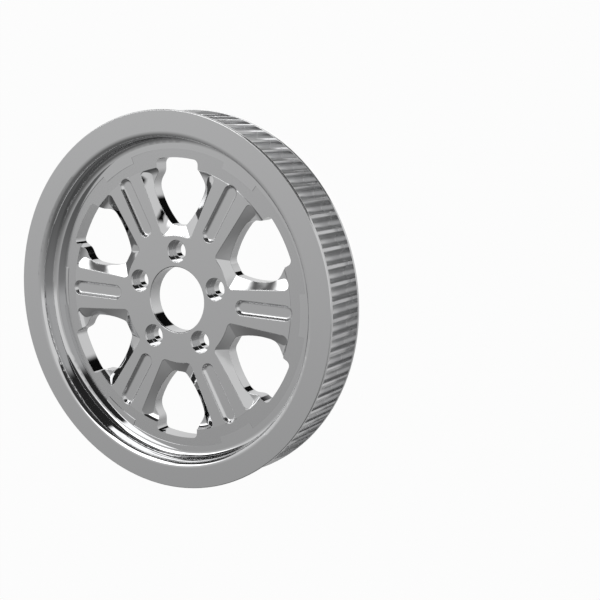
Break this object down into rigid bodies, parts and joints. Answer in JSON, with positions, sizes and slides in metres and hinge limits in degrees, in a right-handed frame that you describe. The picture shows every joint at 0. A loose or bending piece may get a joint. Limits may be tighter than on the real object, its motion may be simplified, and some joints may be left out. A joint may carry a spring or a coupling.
{
  "type": "belt pulley",
  "caption": "Toothed belt pulley cut from a solid billet: flanged belt track, dished rim, spoked web with windows, plain hub bore and a counterbored bolt circle.",
  "frame": {"origin": "where the pulley's axis meets the plane of the back rim face, which is the face it lies on", "axes": "+Z along the axis, out of the dished front face; +X along a spoke; +Y along a window and a bolt hole"},
  "size_m": [0.317, 0.317, 0.0464],
  "materials": {
    "chrome": "polished chrome plate"
  },
  "bodies": {
    "root": {"belt_pulley": "chrome"}
  },
  "joints": []
}
